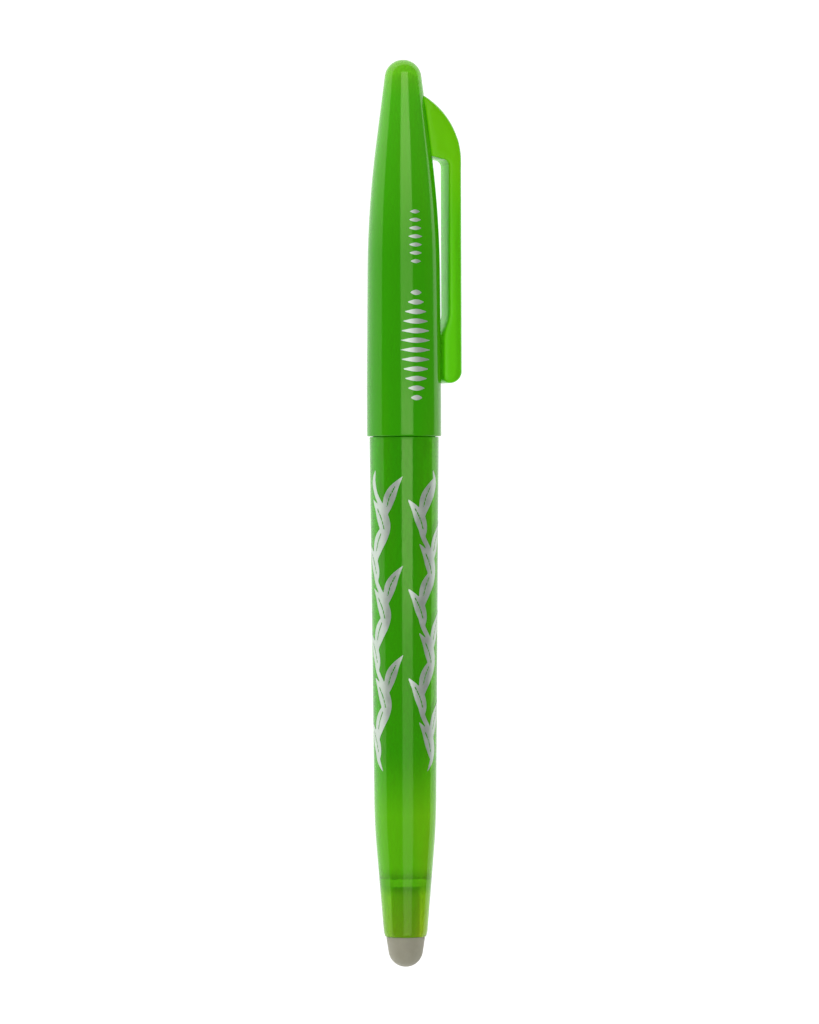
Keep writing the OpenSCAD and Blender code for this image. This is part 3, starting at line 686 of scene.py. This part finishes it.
def foil_piece(name, art, radius, reach, across, along, step, body):
    """A closed leaf of foil on a turned surface of the given radius function.

    Across values are arc lengths at radius reach, counted from the line that faces the camera.
    With across None the leaf goes all the way round.
    """
    around = 2 * math.pi * reach
    if across is None:
        nu = round(around / step)
        u = (np.arange(nu) / nu - 0.5) * around
    else:
        nu = round((across[1] - across[0]) / step)
        u = np.linspace(*across, nu)
    s = np.arange(along[0], along[1], step)
    f = field(art, u, s, around if across is None else None)
    f[0, :] = f[-1, :] = 1.0
    if across is not None:
        f[:, 0] = f[:, -1] = 1.0
    points, index, polygons, rims = [], {}, [], []

    # a grid point, or the place on the way to a second one where the foil's edge crosses
    def vertex(i, j, i2=None, j2=None):
        key = (i % nu, j) if i2 is None else tuple(sorted([(i % nu, j), (i2 % nu, j2)]))
        if key not in index:
            index[key] = len(points)
            if i2 is None:
                points.append((u[i % nu], s[j]))
            else:
                a, b = f[j, i % nu], f[j2, i2 % nu]
                t = min(0.9, max(0.1, a / (a - b)))
                du = (u[i2 % nu] - u[i % nu] + around / 2) % around - around / 2
                points.append((u[i % nu] + t * du, s[j] + t * (s[j2] - s[j])))
        return index[key]

    for j in range(len(s) - 1):
        for i in range(nu if across is None else nu - 1):
            corners = [(i, j), (i + 1, j), (i + 1, j + 1), (i, j + 1)]
            inside = [f[b, a % nu] < 0 for a, b in corners]
            if not any(inside):
                continue
            loop, exits = [], []
            for k in range(4):
                n = (k + 1) % 4
                if inside[k]:
                    loop.append(vertex(*corners[k]))
                if inside[k] != inside[n]:
                    exits.append((len(loop), inside[k]))
                    loop.append(vertex(*corners[k], *corners[n]))
            polygons.append(loop)
            rims += [(loop[p], loop[(p + 1) % len(loop)]) for p, leaving in exits if leaving]
    bm = bmesh.new()
    shells = []
    for lift in (FOIL_LIFT, -FOIL_LIFT):
        shell = []
        for a, b in points:
            r, th = float(radius(b)) + lift, a / reach - TURN
            shell.append(bm.verts.new(at(r * math.sin(th), b, r * math.cos(th))))
        shells.append(shell)
    upper, lower = shells
    for loop in polygons:
        bm.faces.new([upper[k] for k in loop])
        bm.faces.new([lower[k] for k in reversed(loop)])
    for a, b in rims:
        bm.faces.new((upper[b], upper[a], lower[a], lower[b]))
    return piece(finish_mesh(name, bm, 40), mat_foil, body)


foil_piece("barrel_foil", BARREL_ART, barrel_r, FOIL_REACH, None, (28.0, 83.0), 0.2, "barrel")
foil_piece("cap_foil", CAP_ART, cap_r, 5.8, (-3.0, 7.0), (88.0, 123.5), 0.14, "cap")

# ---------------------------------------------------------------- eraser

ERASER_R, STEM_R = 2.72, 2.2
eraser_profile = [(0.0, 0.0)]
for a in np.linspace(-88, -8.4, 18):
    r = math.radians(a)
    eraser_profile.append((ERASER_R * (1 + math.sin(r)), ERASER_R * math.cos(r)))
eraser_profile += fillet([(2.7, 2.755), (4.77, 3.07), (4.77, STEM_R), (5.4, STEM_R)],
                         [0, 0.1, 0.08, 0], 3)
eraser_profile += [(8.0, STEM_R)]
eraser_profile += fillet([(11.2, STEM_R), (12.6, 1.8), (12.6, 1.0)], [0, 0.2, 0], 3)
eraser_profile += [(12.6, 0.0)]
eraser = lathe("eraser_stud", eraser_profile, 96)
piece(eraser, mat_eraser, "barrel", ["eraser"])

# ---------------------------------------------------------------- grip sleeve

SLEEVE0, SLEEVE1 = 91.97, 113.95
SLEEVE_R0, SLEEVE_R1, SLEEVE_BORE = 4.7, 4.35, 3.96
GROOVES, GROOVE_GAP, GROOVE_HALF, GROOVE_DEPTH = 7, 1.9, 0.42, 0.22
slope = (SLEEVE_R1 - SLEEVE_R0) / (SLEEVE1 - SLEEVE0)
sleeve_profile = [(SLEEVE0, SLEEVE_BORE)]
sleeve_profile += fillet([(SLEEVE0, 4.4), (SLEEVE0, SLEEVE_R0), (92.5, 4.692)], [0, 0.18, 0], 4)
grooves = [SLEEVE1 - 2.2 - GROOVE_GAP * k for k in range(GROOVES)]
for s in np.arange(92.7, 113.3, 0.07):
    r = SLEEVE_R0 + (s - SLEEVE0) * slope
    for g in grooves:
        d = (s - g) / GROOVE_HALF
        if abs(d) < 1:
            r -= GROOVE_DEPTH * (1 - d * d) ** 1.2
    sleeve_profile.append((float(s), float(r)))
sleeve_profile += fillet([(113.4, 4.36), (SLEEVE1, SLEEVE_R1), (SLEEVE1, 4.0)], [0, 0.18, 0], 4)
sleeve_profile += [(SLEEVE1, SLEEVE_BORE)]
sleeve = lathe("grip_sleeve_rubber", sleeve_profile, 112)
piece(sleeve, mat_grip, "section", ["grip_sleeve"])

# ---------------------------------------------------------------- ink

INK0, INK1, INK_R = 45.0, 102.4, 2.43
ink_profile = [(INK0, 0.0), (INK0, 1.6)]
ink_profile += fillet([(INK0, 2.0), (INK0, INK_R), (46.0, INK_R)], [0, 0.2, 0], 3)
ink_profile += [(s, INK_R) for s in np.linspace(52, 98, 12)]
ink_profile += fillet([(101.0, INK_R), (INK1, INK_R), (INK1, 1.8)], [0, 0.2, 0], 3)
ink_profile += [(INK1, 0.0)]
ink = lathe("ink_column", ink_profile, 64)
piece(ink, mat_ink, "refill", ["gel_ink"])
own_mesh(ink)

# ---------------------------------------------------------------- CAD nodes carried over

for node, m in (("inner_cap", mat_inner_cap), ("grip_core", mat_section),
                ("nose_cone", mat_section), ("refill_tube", mat_tube), ("tail_plug", mat_plug),
                ("tip_holder", mat_holder), ("metal_tip", mat_tip), ("writing_ball", mat_ball),
                ("follower", mat_grease)):
    dress(node, m)

# ---------------------------------------------------------------- floor, light, camera

floor_z = -5.9 * MM
bm = bmesh.new()
bmesh.ops.create_grid(bm, x_segments=1, y_segments=1, size=3.0)
bmesh.ops.translate(bm, verts=bm.verts, vec=(0, -0.05, floor_z))
floor = finish_mesh("floor", bm, smooth=False)
m, nt, b = new_material("pale_floor")
b.inputs["Base Color"].default_value = (0.15, 0.15, 0.15, 1)
b.inputs["Roughness"].default_value = 0.9
b.inputs["Specular IOR Level"].default_value = 0.1
b.inputs["Emission Color"].default_value = (1, 1, 1, 1)
b.inputs["Emission Strength"].default_value = 1.08
floor.data.materials.append(m)

world = bpy.data.worlds.new("studio")
world.use_nodes = True
bg = world.node_tree.nodes["Background"]
bg.inputs["Color"].default_value = (1.0, 1.0, 1.0, 1)
bg.inputs["Strength"].default_value = 0.13
bpy.context.scene.world = world

CENTRE = Vector(at(0, LENGTH / 2))


def area(name, direction, distance, size, power, size_y=None):
    """A soft box that faces the middle of the pen; direction is (right, along, toward the camera)."""
    d = RIGHT * direction[0] + np.array([0, 1, 0]) * direction[1] + FACING * direction[2]
    d = Vector(d).normalized()
    light = bpy.data.lights.new(name, "AREA")
    light.shape = "RECTANGLE"
    light.size, light.size_y = size, size_y or size
    light.energy = power
    ob = bpy.data.objects.new(name, light)
    bpy.context.scene.collection.objects.link(ob)
    ob.location = CENTRE + d * distance
    ob.rotation_mode = "QUATERNION"
    z = d
    y = Vector((0, 1, 0))
    y = (y - z * y.dot(z)).normalized()
    x = y.cross(z)
    ob.rotation_quaternion = Matrix((x, y, z)).transposed().to_quaternion()
    return ob


area("key_strip", (0.17, 0.35, 1), 0.60, 0.42, 1.1, 0.5)
area("fill_strip", (0.17, -0.35, 1), 0.60, 0.42, 0.8, 0.5)

cam_data = bpy.data.cameras.new("camera")
cam = bpy.data.objects.new("camera", cam_data)
bpy.context.scene.collection.objects.link(cam)
bpy.context.scene.camera = cam
SENSOR = 36.0
HALF_VIEW = 80.719  # millimetres of the pen's plane between the middle and the top of the view
ASIDE, BELOW = 0.804, 0.189  # how far the pen's middle lies left of and below the view's middle
cam_data.lens = 200.0
cam_data.sensor_width = SENSOR
distance = HALF_VIEW * MM / (SENSOR / 2 / cam_data.lens)
roll = math.radians(0.18)
back = Vector(FACING)
right = Vector(RIGHT)
up = Vector((0, 1, 0))
x_axis = right * math.cos(roll) - up * math.sin(roll)
y_axis = up * math.cos(roll) + right * math.sin(roll)
aim = CENTRE + x_axis * (ASIDE * MM) + y_axis * (BELOW * MM)
cam.location = aim + back * distance
cam.rotation_mode = "QUATERNION"
cam.rotation_quaternion = Matrix((x_axis, y_axis, back)).transposed().to_quaternion()
cam_data.clip_start, cam_data.clip_end = 0.05, 20.0

scene = bpy.context.scene
scene.view_settings.view_transform = "Standard"
scene.view_settings.look = "None"
scene.view_settings.exposure = 0.0
scene.view_settings.gamma = 1.0
